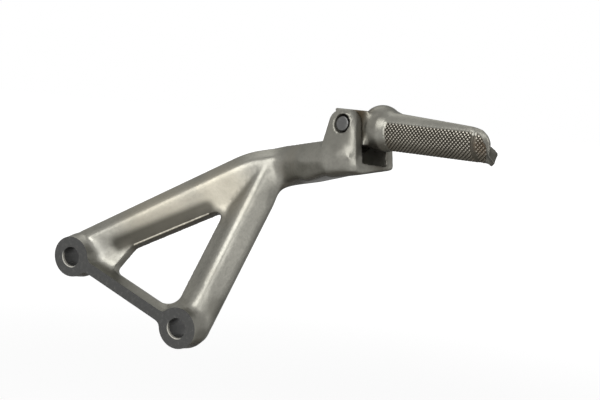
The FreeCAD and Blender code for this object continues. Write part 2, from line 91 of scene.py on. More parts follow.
def average(values, links):
    a, b, count = links
    if values.ndim == 1:
        return np.bincount(a, values[b], len(count)) / count
    columns = [np.bincount(a, column[b], len(count)) / count for column in values.T]
    return np.stack(columns, 1)


def relax(points, links, weight, rounds):
    for i in range(rounds):
        points = points + (average(points, links) - points) * weight[:, None]
    return points


def creases(mesh, points, links, size, limits, spread, side=1):
    # 1 in inside corners (side 1) or on outside edges (side -1), fading out over spread rings of vertices
    bend = side * ((average(points, links) - points) * normals(mesh)).sum(1) / size
    mark = smoothStep(*limits, bend)
    a, b, count = links
    for i in range(spread):
        grown = mark.copy()
        np.maximum.at(grown, a, mark[b])
        mark = grown
    for i in range(spread):
        mark = average(mark, links)
    return mark


def remeshed(node, name, voxel, prepare=None):
    # a closed, even skin over a CAD node's solid
    form = bmesh.new()
    form.from_mesh(frame["nodes"][node].data)
    bmesh.ops.remove_doubles(form, verts=form.verts, dist=1e-6)
    if prepare:
        prepare(form)
    mesh = bpy.data.meshes.new(name + "Raw")
    form.to_mesh(mesh)
    form.free()
    obj = meshObject(name + "Raw", mesh)
    skin = obj.modifiers.new("skin", "REMESH")
    skin.mode = "VOXEL"
    skin.voxel_size = voxel
    return evaluated(obj, name)


def rotationTo(xAxis, zAxis):
    return Matrix((xAxis, zAxis.cross(xAxis), zAxis)).transposed()


# the frames of the clevis and of the peg, both round the hinge pin
pegFrame = {"armHeading": -12.7, "armClimb": 11.6, "droop": 12.0}
hinge = Vector(joint["axis"]).normalized()
pivot = Vector(joint["pos_m"])
heading = math.radians(pegFrame["armHeading"])
climb = math.radians(pegFrame["armClimb"])
level = math.cos(climb)
armWay = Vector((math.cos(heading) * level, math.sin(heading) * level, math.sin(climb)))
armWay = (armWay - hinge * armWay.dot(hinge)).normalized()
pegWay = Matrix.Rotation(math.radians(-pegFrame["droop"]), 3, hinge) @ armWay
clevisTurn = rotationTo(armWay, armWay.cross(-hinge))
pegTurn = rotationTo(pegWay, pegWay.cross(-hinge))


def localPoints(points, turn):
    # in millimetres from the middle of the hinge
    return (points - np.array(pivot)) @ np.array(turn) / mm


def clevisSpot(x, y, z):
    return tuple(pivot + clevisTurn @ (Vector((x, y, z)) * mm))


def pegSpot(x, y, z):
    return tuple(pivot + pegTurn @ (Vector((x, y, z)) * mm))


view = {"place": (0.33374, -0.48998, 0.12374), "right": (0.89779, 0.43408, 0.07442),
        "forward": (-0.42488, 0.89816, -0.11313), "lens": 66.0, "nearest": 0.01}


def makeCamera():
    lens = bpy.data.cameras.new("camera")
    lens.lens = view["lens"]
    lens.clip_start = view["nearest"]
    camera = bpy.data.objects.new("camera", lens)
    bpy.context.scene.collection.objects.link(camera)
    turn = rotationTo(Vector(view["right"]).normalized(), -Vector(view["forward"]).normalized())
    camera.matrix_world = Matrix.Translation(view["place"]) @ turn.to_4x4()
    bpy.context.scene.camera = camera


def linkOrSet(tree, socket, value):
    if isinstance(value, bpy.types.NodeSocket):
        tree.links.new(value, socket)
    else:
        socket.default_value = value


def calc(tree, kind, *values):
    node = tree.nodes.new("ShaderNodeMath")
    node.operation = kind
    for socket, value in zip(node.inputs, values):
        linkOrSet(tree, socket, value)
    return node.outputs[0]


def vectorCalc(tree, kind, *values):
    node = tree.nodes.new("ShaderNodeVectorMath")
    node.operation = kind
    for socket, value in zip(node.inputs, values):
        linkOrSet(tree, socket, value)
    return node.outputs["Value" if kind in ("LENGTH", "DISTANCE", "DOT_PRODUCT") else "Vector"]


def apart(tree, vector):
    node = tree.nodes.new("ShaderNodeSeparateXYZ")
    tree.links.new(vector, node.inputs[0])
    return node.outputs


def ramp(tree, value, low, high, out0=0.0, out1=1.0):
    node = tree.nodes.new("ShaderNodeMapRange")
    node.interpolation_type = "SMOOTHSTEP"
    for name, number in (("From Min", low), ("From Max", high), ("To Min", out0), ("To Max", out1)):
        node.inputs[name].default_value = number
    tree.links.new(value, node.inputs["Value"])
    return node.outputs["Result"]


studio = {"floorHeight": -0.16, "floorSize": 6.0, "floorColour": (0.8, 0.8, 0.8), "floorGlow": 1.15,
          "shadowShare": 0.25, "shadowNear": 0.35, "shadowFar": 1.3, "fill": 0.10}
lamps = [  # name, place, aim, the way its long side runs, length, width, power
    ("front", (0.00, -0.66, 0.50), (0.06, 0.02, 0.05), (-0.46, 0.29, 0.30), 0.78, 0.50, 6.8),
    ("low", (0.36, -0.80, -0.08), (0.06, 0.02, 0.05), (1, 0.4, 0), 0.60, 0.46, 3.2),
    ("right", (0.78, -0.61, 0.25), (0.10, 0.02, 0.06), (0.5, 0.5, 0.6), 0.46, 0.40, 1.8),
    ("overhead", (-0.25, 0.45, 0.75), (0.05, 0.03, 0.05), (1, 0, 0), 0.50, 0.50, 1.2),
]


def whiteToCamera(tree):
    # the camera, gloss and glass see plain white here
    path = tree.nodes.new("ShaderNodeLightPath")
    seen = calc(tree, "MAXIMUM", path.outputs["Is Camera Ray"], path.outputs["Is Glossy Ray"])
    return calc(tree, "MAXIMUM", seen, path.outputs["Is Transmission Ray"])


def mixToOutput(tree, share, first, second, kind):
    mix = tree.nodes.new("ShaderNodeMixShader")
    for socket, value in zip(mix.inputs, (share, first, second)):
        tree.links.new(value, socket)
    out = tree.nodes.new(kind)
    tree.links.new(mix.outputs[0], out.inputs["Surface"])


def makeWorld():
    world = bpy.data.worlds.new("room")
    world.use_nodes = True
    tree = world.node_tree
    tree.nodes.clear()
    lit = tree.nodes.new("ShaderNodeBackground")
    seen = tree.nodes.new("ShaderNodeBackground")
    for background in (lit, seen):
        background.inputs["Color"].default_value = (1, 1, 1, 1)
    lit.inputs["Strength"].default_value = studio["fill"]
    mixToOutput(tree, whiteToCamera(tree), lit.outputs[0], seen.outputs[0], "ShaderNodeOutputWorld")
    bpy.context.scene.world = world


def makeFloor():
    size, height = studio["floorSize"], studio["floorHeight"]
    mesh = bpy.data.meshes.new("floor")
    corners = [(x * size, y * size, height) for x, y in ((-1, -1), (1, -1), (1, 1), (-1, 1))]
    mesh.from_pydata(corners, [], [(0, 1, 2, 3)])
    floor = meshObject("floor", mesh)
    paper = bpy.data.materials.new("palePaper")
    paper.use_nodes = True
    tree = paper.node_tree
    tree.nodes.clear()
    matt = tree.nodes.new("ShaderNodeBsdfDiffuse")
    matt.inputs["Color"].default_value = (*studio["floorColour"], 1)
    glow = tree.nodes.new("ShaderNodeEmission")
    glow.inputs["Strength"].default_value = studio["floorGlow"]
    # round the object part of the paper's own shade stays, so that its shadow shows
    where = tree.nodes.new("ShaderNodeTexCoord")
    away = vectorCalc(tree, "LENGTH", where.outputs["Object"])
    fade = ramp(tree, away, studio["shadowNear"], studio["shadowFar"], 1 - studio["shadowShare"], 1.0)
    share = calc(tree, "MULTIPLY", whiteToCamera(tree), fade)
    mixToOutput(tree, share, matt.outputs[0], glow.outputs[0], "ShaderNodeOutputMaterial")
    mesh.materials.append(paper)


def makeLamps():
    for name, place, aim, run, length, width, power in lamps:
        light = bpy.data.lights.new(name, "AREA")
        light.shape = "RECTANGLE"
        light.size, light.size_y = length, width
        light.energy = power
        back = (Vector(place) - Vector(aim)).normalized()
        along = Vector(run)
        along = (along - back * along.dot(back)).normalized()
        lamp = bpy.data.objects.new(name, light)
        lamp.matrix_world = Matrix.Translation(place) @ rotationTo(along, back).to_4x4()
        bpy.context.scene.collection.objects.link(lamp)


makeCamera()
makeWorld()
makeFloor()
makeLamps()
bpy.context.scene.view_settings.view_transform = "Standard"
print("studio is ready")


def finish(name, colour, metallic, roughness):
    material = bpy.data.materials.new(name)
    material.use_nodes = True
    tree = material.node_tree
    shader = tree.nodes["Principled BSDF"]
    shader.inputs["Base Color"].default_value = (*colour, 1)
    shader.inputs["Metallic"].default_value = metallic
    shader.inputs["Roughness"].default_value = roughness
    where = tree.nodes.new("ShaderNodeTexCoord")
    return material, tree, shader, where.outputs["Object"]


def noise(tree, where, scale, detail=3.0, rough=0.55):
    node = tree.nodes.new("ShaderNodeTexNoise")
    node.inputs["Scale"].default_value = scale
    node.inputs["Detail"].default_value = detail
    node.inputs["Roughness"].default_value = rough
    tree.links.new(where, node.inputs["Vector"])
    return node.outputs["Fac"]


def blendColour(tree, share, colourA, colourB):
    node = tree.nodes.new("ShaderNodeMix")
    node.data_type = "RGBA"
    linkOrSet(tree, node.inputs[0], share)
    for socket, value in ((node.inputs[6], colourA), (node.inputs[7], colourB)):
        linkOrSet(tree, socket, (*value, 1) if isinstance(value, tuple) else value)
    return node.outputs[2]


def tinted(tree, mark, strength, colour, tint):
    return blendColour(tree, calc(tree, "MULTIPLY", mark, strength), colour, tint)


def addSheen(tree, shader, where, roughness, scale, limits, smoother, rougher):
    # the roughness wanders over the surface
    wander = noise(tree, where, scale)
    sheen = ramp(tree, wander, *limits, roughness - smoother, roughness + rougher)
    tree.links.new(sheen, shader.inputs["Roughness"])


def bump(tree, shader, heights):
    last = None
    for height, distance, strength in heights:
        node = tree.nodes.new("ShaderNodeBump")
        node.inputs["Strength"].default_value = strength
        node.inputs["Distance"].default_value = distance
        tree.links.new(height, node.inputs["Height"])
        if last is not None:
            tree.links.new(last, node.inputs["Normal"])
        last = node.outputs["Normal"]
    tree.links.new(last, shader.inputs["Normal"])


# soft-edged marks and painted light: full out to the core's share of the radius, gone at the edge's share
stainAndPaintedLight = {"core": 0.45, "bandCore": 0.35, "edge": 1.15, "ragged": 0.35, "raggedScale": 180.0}


def spot(tree, where, place, radius):
    # a patch round a point of the object, used for marks on the metal and for painted light and shade
    wander = calc(tree, "MULTIPLY", noise(tree, where, stainAndPaintedLight["raggedScale"]), radius * stainAndPaintedLight["ragged"])
    away = calc(tree, "ADD", vectorCalc(tree, "DISTANCE", where, place), wander)
    return ramp(tree, away, radius * stainAndPaintedLight["core"], radius * stainAndPaintedLight["edge"], 1.0, 0.0)


def band(tree, where, start, end, radius):
    # a patch along a line of the object, used for a painted reflection and a painted highlight
    line = Vector(end) - Vector(start)
    off = vectorCalc(tree, "SUBTRACT", where, start)
    share = tree.nodes.new("ShaderNodeClamp")
    tree.links.new(vectorCalc(tree, "DOT_PRODUCT", off, line / line.length_squared), share.inputs["Value"])
    nearest = vectorCalc(tree, "MULTIPLY", line, share.outputs[0])
    far = vectorCalc(tree, "DISTANCE", off, nearest)
    return ramp(tree, far, radius * stainAndPaintedLight["bandCore"], radius * stainAndPaintedLight["edge"], 1.0, 0.0)


# the under colour is painted shade for faces that look down, with its share and the slope where it starts and
# is full
castLook = {
    "light": (0.230, 0.224, 0.197), "dark": (0.158, 0.155, 0.136), "warm": (0.195, 0.180, 0.148),
    "grimeAndShade": (0.040, 0.033, 0.024), "rim": (0.25, 0.25, 0.24), "metallic": 0.72, "roughness": 0.34,
    "under": (0.055, 0.050, 0.039), "underShadeShare": 0.88, "underShadeFacing": (0.28, 0.72),
}
castClouds = [  # noise scale, detail and roughness, where it starts and is full, share, tone
    (28.0, 4.0, 0.55, 0.35, 0.65, 0.55, "dark"),
    (620.0, 2.0, 0.55, 0.40, 0.66, 0.40, "dark"),
    (46.0, 5.0, 0.65, 0.52, 0.70, 0.35, "warm"),
]
# sheen: noise scale, range, smoother and rougher by; pits and swell: scale, detail, depth, strength
castSheen = (90.0, (0.3, 0.7), 0.05, 0.08)
castRelief = {"pits": (1100.0, 2.0, 0.00003, 0.30), "pitRange": (0.35, 0.65),
              "swell": (210.0, 2.0, 0.00008, 0.25)}


def markUnderShade(mesh):
    # every corner of a face keeps how far the surface looks down there, for the painted shade on undersides
    flat = np.empty(len(mesh.loops) * 3)
    mesh.corner_normals.foreach_get("vector", flat)
    down = smoothStep(*castLook["underShadeFacing"], -flat.reshape(-1, 3)[:, 2])
    mesh.attributes.new("underShadeMask", "FLOAT", "CORNER").data.foreach_set("value", down)


def castFinish(name, look, stainAndPaintedLightSpots, paintedLightBands=()):
    material, tree, shader, where = finish(name, look["light"], look["metallic"], look["roughness"])
    shader.inputs["Specular Tint"].default_value = (*look["rim"], 1)
    colour = look["light"]
    for scale, detail, rough, low, high, share, tone in castClouds:
        cloud = ramp(tree, noise(tree, where, scale, detail, rough), low, high)
        colour = tinted(tree, cloud, share, colour, look[tone])
    for place, radius, tint, strength in stainAndPaintedLightSpots:
        colour = tinted(tree, spot(tree, where, place, radius), strength, colour, tint)
    for start, end, radius, tint, strength in paintedLightBands:
        colour = tinted(tree, band(tree, where, start, end, radius), strength, colour, tint)
    # faces that look down are darkened: painted shade on the undersides
    underShadeMask = tree.nodes.new("ShaderNodeAttribute")
    underShadeMask.attribute_name = "underShadeMask"
    colour = tinted(tree, underShadeMask.outputs["Fac"], look["underShadeShare"], colour, look["under"])
    tree.links.new(colour, shader.inputs["Base Color"])
    addSheen(tree, shader, where, look["roughness"], *castSheen)
    pitScale, pitDetail, *pitDepth = castRelief["pits"]
    swellScale, swellDetail, *swellDepth = castRelief["swell"]
    pits = ramp(tree, noise(tree, where, pitScale, pitDetail), *castRelief["pitRange"])
    bump(tree, shader, [(pits, *pitDepth), (noise(tree, where, swellScale, swellDetail), *swellDepth)])
    return material


shaded = (0.075, 0.072, 0.060)
sandy = (0.290, 0.262, 0.202)
paintedWindowReflection = (0.045, 0.042, 0.034)
castAluminium = castFinish("castAluminium", castLook, [
    # the pocket between the ears (dirt and painted shade), then the lower boss,
    # the near ear (painted shade), the upper boss's collar (painted light),
    # the lower boss's side (painted shade) and the long leg
    # dirt together with painted shade in the pocket between the ears
    (clevisSpot(2, 0, -8), 0.016, castLook["grimeAndShade"], 0.85),
    (clevisSpot(6, 3, -14), 0.014, castLook["grimeAndShade"], 0.9),
    ((0.047, 0.004, -0.024), 0.007, castLook["warm"], 0.8),
    # painted shade on the near ear's face
    (clevisSpot(0, -16, -6), 0.018, (0.120, 0.117, 0.101), 0.70),
    # painted light on the upper boss's collar
    ((-0.0245, 0.0075, 0.0185), 0.010, (0.320, 0.315, 0.285), 0.6),
    ((0.0514, 0.0147, -0.0032), 0.010, shaded, 0.55),
    ((0.0467, 0.0058, -0.0182), 0.008, shaded, 0.55),
    ((0.008, 0.018, 0.042), 0.034, sandy, 0.45),
    ((0.040, 0.030, 0.058), 0.024, sandy, 0.45),
], [
    # a painted dark reflection along the window's upper edge, and a painted highlight on its parting line
    ((-0.0125, 0.0130, 0.0235), (0.0320, 0.0292, 0.0470), 0.0060, paintedWindowReflection, 0.92),
    # painted highlight along the parting line
    ((-0.0043, 0.0158, 0.0233), (0.0331, 0.0293, 0.0439), 0.0009, (0.800, 0.760, 0.640), 0.9),
])
pegAluminium = castFinish("pegAluminium", castLook, [
    # the root and eye, dirt together with painted shade, and the lip, darkened as painted shade
    (pegSpot(5, -9, 5), 0.0085, (0.062, 0.048, 0.030), 0.95),
    (pegSpot(5, -9, -4), 0.0085, (0.050, 0.040, 0.026), 0.95),
    (pegSpot(13, -8, 3), 0.0085, (0.100, 0.096, 0.082), 0.75),
    (pegSpot(84, -8, -6), 0.0085, (0.052, 0.050, 0.043), 0.85),
    (pegSpot(79, -10, -1), 0.0035, (0.100, 0.095, 0.082), 0.6),
])


casting = {
    "voxel": 0.75, "allowance": 2.4, "evenRounds": 8, "evenWeight": 0.5,
    "boltHalf": 38.2, "boltDrop": 22.0, "boreRadius": 6.0, "boreMargin": 0.3,
    "slotHalf": 10.8, "slotBack": 8.6, "slotFloor": 20.2, "slotMargin": 0.4,
    "pinHoleRadius": 4.75, "pinHoleMargin": 0.9, "pinHoleEnd": 20.0,
    # away from the machined face, ridges that look to the front are rounded
    "faceFade": (0.5, 4.0), "ridgeBend": (0.03, 0.08), "ridgeFacing": (0.68, 0.80),
    "ridgeSpread": 6, "ridgeRounds": 50, "ridgeWeight": 0.6,
    # places where the forms flow into each other: place, reach, share
    "softCore": 0.4, "softRounds": 110,
    "softPlaces": [((0.0755, 0.0410, 0.0645), 0.018, 1.0), ((0.0760, 0.0360, 0.0720), 0.016, 0.9),
                   ((-0.0220, 0.0090, 0.0180), 0.010, 0.3), ((0.0430, 0.0080, 0.0000), 0.010, 0.3),
                   ((0.1190, 0.0155, 0.0840), 0.007, 0.35)],
    "hollowBend": (0.03, 0.10), "hollowSpread": 5, "hollowRounds": 46, "hollowWeight": 0.55,
}
machinedLook = {
    "colour": (0.055, 0.055, 0.052), "metallic": 0.6, "roughness": 0.42,
    "plain": (0.050, 0.050, 0.048), "worn": (0.090, 0.089, 0.084), "wear": (520.0, 4.0, 0.7),
    "wearRange": (0.48, 0.78), "grainScale": 700.0, "grainDepth": (0.00003, 0.5),
    # a painted highlight on one side of each bore's mouth, in metres
    "mouthHighlight": (0.56, 0.54, 0.48), "highlightShare": 0.8, "highlightDepth": (0.0008, 0.0016),
    "highlightRadius": (0.0058, 0.0062), "highlightSide": (-0.65, 0, -0.76), "highlightFade": (0.0008, 0.0048),
}


def boltHoles():
    drop = math.radians(casting["boltDrop"])
    half = casting["boltHalf"] * mm
    return [(sign * half * math.cos(drop), -sign * half * math.sin(drop)) for sign in (-1, 1)]


def machinedFinish(look):
    values = (look["colour"], look["metallic"], look["roughness"])
    material, tree, shader, where = finish("machinedFace", *values)
    worn = ramp(tree, noise(tree, where, *look["wear"]), *look["wearRange"])
    colour = blendColour(tree, worn, look["plain"], look["worn"])
    # the chamfer and the first stretch of each bore get a painted highlight on one side
    flat = vectorCalc(tree, "MULTIPLY", where, (1, 0, 1))
    shallow = ramp(tree, apart(tree, where)["Y"], *look["highlightDepth"], look["highlightShare"], 0.0)
    for x, z in boltHoles():
        off = vectorCalc(tree, "SUBTRACT", flat, (x, 0, z))
        near = ramp(tree, vectorCalc(tree, "LENGTH", off), *look["highlightRadius"], 1.0, 0.0)
        side = ramp(tree, vectorCalc(tree, "DOT_PRODUCT", off, look["highlightSide"]), *look["highlightFade"])
        colour = tinted(tree, calc(tree, "MULTIPLY", near, side), shallow, colour, look["mouthHighlight"])
    tree.links.new(colour, shader.inputs["Base Color"])
    bump(tree, shader, [(noise(tree, where, look["grainScale"]), *look["grainDepth"])])
    return material


machinedFace = machinedFinish(machinedLook)
print("casting finishes are ready")


def addAllowance(form):
    # spare metal on the front, which machineFace cuts off again
    for vert in form.verts:
        if abs(vert.co.y) < 1e-6:
            vert.co.y = -casting["allowance"] * mm


def machineFace(mesh):
    # cut the casting's front off at Y = 0 and give the cut and the bores the machined finish
    form = bmesh.new()
    form.from_mesh(mesh)
    everything = form.verts[:] + form.edges[:] + form.faces[:]
    bmesh.ops.bisect_plane(form, geom=everything, plane_co=(0, 0, 0), plane_no=(0, -1, 0),
                           clear_outer=True, dist=1e-7)
    rim = [e for e in form.edges if e.is_boundary]
    made = bmesh.ops.triangle_fill(form, use_beauty=True, use_dissolve=False, edges=rim,
                                   normal=(0, -1, 0))
    for item in made["geom"]:
        if isinstance(item, bmesh.types.BMFace):
            item.material_index = 1
            item.smooth = False
            if item.normal.y > 0:
                item.normal_flip()
    reach = casting["boreRadius"] * mm
    for face in form.faces:
        middle = face.calc_center_median()
        if any(math.hypot(middle.x - x, middle.z - z) < reach for x, z in boltHoles()):
            face.material_index = 1
    for edge in form.edges:
        if len({face.material_index for face in edge.link_faces}) > 1:
            edge.smooth = False
    form.to_mesh(mesh)
    form.free()


def crispParts(points):
    # the slot, the pin hole and the bores keep their edges
    local = localPoints(points, clevisTurn)
    margin = casting["slotMargin"]
    inSlot = ((abs(local[:, 1]) < casting["slotHalf"] + margin)
              & (local[:, 0] > -casting["slotBack"] - margin)
              & (local[:, 2] > -casting["slotFloor"] - margin))
    holeReach = casting["pinHoleRadius"] + casting["pinHoleMargin"]
    inHole = (np.hypot(local[:, 0], local[:, 2]) < holeReach) & (local[:, 0] < casting["pinHoleEnd"])
    crisp = inSlot | inHole
    for x, z in boltHoles():
        reach = (casting["boreRadius"] + casting["boreMargin"]) * mm
        crisp |= np.hypot(points[:, 0] - x, points[:, 2] - z) < reach
    return crisp


def makeCasting():
    voxel = casting["voxel"] * mm
    mesh = remeshed("bracket", "castBody", voxel, addAllowance)
    links = neighbours(mesh)
    points = readPoints(mesh)
    free = ~crispParts(points)
    points = relax(points, links, casting["evenWeight"] * free, casting["evenRounds"])
    writePoints(mesh, points)
    # the ridges that face the front are well rounded, and a few corners flow into each other
    offFace = smoothStep(*casting["faceFade"], points[:, 1] / mm) * free
    ridge = creases(mesh, points, links, voxel, casting["ridgeBend"], casting["ridgeSpread"], side=-1)
    ridge = ridge * smoothStep(*casting["ridgeFacing"], -normals(mesh)[:, 1]) * offFace
    points = relax(points, links, ridge * casting["ridgeWeight"], casting["ridgeRounds"])
    soft = np.zeros(len(points))
    for place, reach, share in casting["softPlaces"]:
        far = np.linalg.norm(points - np.array(place), axis=1)
        soft = np.maximum(soft, smoothStep(reach, reach * casting["softCore"], far) * share)
    points = relax(points, links, soft * offFace * casting["ridgeWeight"], casting["softRounds"])
    writePoints(mesh, points)
    hollow = creases(mesh, points, links, voxel, casting["hollowBend"], casting["hollowSpread"]) * free
    points = relax(points, links, hollow * casting["hollowWeight"], casting["hollowRounds"])
    writePoints(mesh, points)
    mesh.shade_smooth()
    machineFace(mesh)
    markUnderShade(mesh)
    mesh.materials.append(castAluminium)
    mesh.materials.append(machinedFace)
    print("casting has", len(mesh.polygons), "faces")
    return meshObject("castBody", mesh)


castBody = makeCasting()
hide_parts("bracket")
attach(castBody, "bracket")


grip = {
    "voxel": 0.5, "crispTo": 9.0, "evenRounds": 3, "evenWeight": 0.3,
    "endFade": (60.0, 72.0), "endRounds": 8, "endWeight": 0.5,
    "hollowBend": (0.04, 0.12), "hollowSpread": 5, "hollowRounds": 26, "hollowWeight": 0.5,
    # the knurl: its studs, the stretches it lies on and the oblique edge where it ends
    "radius": 10.1, "knurlDepth": 0.5, "sink": 0.08, "rise": 0.25, "pitch": 2.0, "flat": 0.24,
    "knurlStart": 20.6, "knurlEnd": 70.2, "knurlMargins": (1.0, 0.6), "knurlSide": 70.0, "knurlInset": 4.0,
    "patchStart": 72.3, "patchEnd": 79.5, "patchMargins": (0.8, 0.0), "skin": 0.4,
    "edgePeak": 78.5, "edgeTurn": 120.0, "edgeFlat": 10.0, "edgeAbove": 0.0026, "edgeBelow": 0.10,
    "edgeMargin": 0.6, "grooveSkin": 0.9, "grooveMargin": 1.0, "grooveTurn": 78.0,
    # the lip: where the warp starts, how far it turns out and how its corner rolls over
    "warpFrom": 64.0, "warpOver": 1.05, "rimBlend": 1.5, "flareOut": 3.0, "flareUnder": 0.8,
    "lipTurn": (108, 126), "underTurn": (130, 155), "backTurn": (240, 200),
    "lipAlong": (76.5, 86.0), "underAlong": (74.0, 80.0), "lipRadius": (7.5, 10.0),
    "rollTop": (1.0, 4.0), "rollAlong": (-7.0, -3.5), "rollRounds": 40, "rollWeight": 0.5,
    # along the peg: the solid's end face by distance towards the lip, its rim and the real rim by angle
    "solidLip": 125.0,
    "solidEnd": [(-13.5, 63.7), (1.0, 71.5), (4.6, 75.1), (8.2, 80.2), (10.6, 81.6), (13.0, 83.0)],
    "solidRim": [(-55, 65.4), (-10, 67.2), (30, 71.5), (60, 77.5), (70, 78.7), (80, 79.5), (90, 80.1),
                 (100, 80.6), (115, 81.4), (130, 81.6), (145, 80.9), (160, 80.0), (170, 79.5), (180, 78.6),
                 (190, 77.5), (200, 75.6), (210, 71.7), (220, 70.3), (235, 69.3), (250, 68.0), (305, 65.4)],
    "realRim": [(-55, 65.4), (-10, 67.2), (30, 71.5), (60, 75.8), (66, 77.3), (72, 78.4), (78, 79.1),
                (84, 79.7), (90, 80.2), (102, 80.7), (118, 81.0), (126, 81.5), (131, 82.8), (136, 84.3),
                (140, 83.8), (146, 82.3), (156, 80.5), (180, 77.6), (216, 74.0), (250, 69.0), (305, 65.4)],
}


def turnOf(local):
    # degrees round the peg: 0 on top, 90 at the front, 180 below, from -55 on as the rim tables run
    turn = np.degrees(np.arctan2(-local[:, 1], local[:, 2]))
    return np.where(turn < -55, turn + 360, turn)


def endLine(table, values):
    return np.interp(values, [p[0] for p in table], [p[1] for p in table])


def knurlLimit(turn):
    above = np.maximum(grip["edgeTurn"] - turn, 0)
    below = np.maximum(turn - grip["edgeTurn"] - grip["edgeFlat"], 0)
    return grip["edgePeak"] - grip["edgeAbove"] * above ** 2 - grip["edgeBelow"] * below


def radiusOf(local):
    return np.hypot(local[:, 1], local[:, 2])


def bendEnd(local):
    # slide the last stretch along the peg to give its end the real rim, and flare the lip
    turn, radius = turnOf(local), radiusOf(local)
    lip = math.radians(grip["solidLip"])
    rim = endLine(grip["solidRim"], turn)
    here = endLine(grip["solidEnd"], local[:, 2] * math.cos(lip) - local[:, 1] * math.sin(lip))
    here = np.minimum(here, rim)
    outward = smoothStep(0.0, grip["radius"] - grip["rimBlend"], radius)
    shift = (endLine(grip["realRim"], turn) - rim) * outward
    share = (local[:, 0] - grip["warpFrom"]) / np.maximum(here - grip["warpFrom"], 1.0)
    local[:, 0] += shift * np.clip(share, 0, grip["warpOver"]) ** 2
    back = smoothStep(*grip["backTurn"], turn)
    onLip = smoothStep(*grip["lipTurn"], turn) * back
    under = smoothStep(*grip["underTurn"], turn) * back
    lift = (onLip * smoothStep(*grip["lipAlong"], local[:, 0]) * grip["flareOut"]
            + under * smoothStep(*grip["underAlong"], local[:, 0]) * grip["flareUnder"])
    grow = 1 + lift * smoothStep(*grip["lipRadius"], radius) / grip["radius"]
    local[:, 1:] *= grow[:, None]


def makePeg():
    voxel = grip["voxel"] * mm
    mesh = remeshed("footpeg", "pegBody", voxel)
    links = neighbours(mesh)
    points = readPoints(mesh)
    local = localPoints(points, pegTurn)
    free = local[:, 0] >= grip["crispTo"]
    points = relax(points, links, grip["evenWeight"] * free, grip["evenRounds"])
    atEnd = smoothStep(*grip["endFade"], local[:, 0])
    points = relax(points, links, atEnd * grip["endWeight"], grip["endRounds"])
    writePoints(mesh, points)
    hollow = creases(mesh, points, links, voxel, grip["hollowBend"], grip["hollowSpread"]) * free
    points = relax(points, links, hollow * grip["hollowWeight"], grip["hollowRounds"])
    local = localPoints(points, pegTurn)
    bendEnd(local)
    toRim = local[:, 0] - endLine(grip["realRim"], turnOf(local))
    topEnd = smoothStep(*grip["rollTop"], local[:, 2]) * smoothStep(*grip["rollAlong"], toRim)
    local = relax(local, links, topEnd * grip["rollWeight"], grip["rollRounds"])
    # the ground of the knurl lies lower than the skin round it
    radius, along = radiusOf(local), local[:, 0]
    side = np.degrees(np.arctan2(abs(local[:, 1]), local[:, 2]))
    onGrip = (along > grip["knurlStart"]) & (along < grip["knurlEnd"])
    onPatch = (along > grip["patchStart"]) & (along < grip["patchEnd"])
    knurled = ((onGrip | onPatch) & (along < knurlLimit(turnOf(local)) + grip["edgeMargin"])
               & (side > grip["knurlSide"]) & (radius > grip["radius"] - grip["skin"]))
    floor = grip["radius"] - grip["knurlDepth"]
    shrink = np.where(knurled, np.minimum(radius, floor) / np.maximum(radius, 1e-6), 1.0)
    local[:, 1:] *= shrink[:, None]
    writePoints(mesh, (local * mm) @ np.array(pegTurn).T + np.array(pivot))
    mesh.shade_smooth()
    markUnderShade(mesh)
    mesh.materials.append(pegAluminium)
    print("peg has", len(mesh.polygons), "faces")
    return meshObject("pegBody", mesh), knurled


pegBody, knurled = makePeg()
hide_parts("footpeg")
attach(pegBody, "footpeg")


# the studs' crests are lighter, a painted highlight, and their flanks darker, painted shade
crestLook = dict(castLook, light=(0.52, 0.49, 0.42), dark=(0.34, 0.32, 0.27), roughness=0.34)
flankLook = dict(castLook, light=(0.085, 0.078, 0.064), dark=(0.045, 0.040, 0.032),
                 warm=(0.07, 0.05, 0.03), roughness=0.50)
lipGrime = [(pegSpot(76, -9, -3), 0.006, (0.10, 0.07, 0.045), 0.6)]
knurlCrest = castFinish("knurlCrest", crestLook, lipGrime)
knurlFlank = castFinish("knurlFlank", flankLook, lipGrime)


def darkenGround():
    # the ground between the studs and the groove past them are darkened like the studs' flanks, as painted
    # shade
    pegBody.data.materials.append(knurlFlank)
    local = localPoints(readPoints(pegBody.data), pegTurn)
    turn, along = turnOf(local), local[:, 0]
    margin = grip["grooveMargin"]
    groove = ((along > grip["knurlEnd"] - margin) & (along < grip["patchStart"] + margin)
              & (along < knurlLimit(turn) + grip["edgeMargin"]) & (turn > grip["grooveTurn"])
              & (radiusOf(local) > grip["radius"] - grip["grooveSkin"]))
    dark = knurled | groove
    for face in pegBody.data.polygons:
        if all(dark[v] for v in face.vertices):
            face.material_index = 1


def knurlSizes(start, end, margins):
    depth = grip["knurlDepth"] + grip["sink"]
    return {"Pitch": grip["pitch"], "Height": depth, "Flat": grip["flat"], "Radius": grip["radius"] - depth,
            "Rise": grip["rise"], "Arc": 360 - 2 * (grip["knurlSide"] + grip["knurlInset"]),
            "Start": grip[start] + margins[0], "Length": grip[end] - grip[start] - sum(margins),
            "Edge Peak": grip["edgePeak"], "Edge Turn": grip["edgeTurn"], "Edge Flat": grip["edgeFlat"],
            "Edge Above": grip["edgeAbove"], "Edge Below": grip["edgeBelow"]}


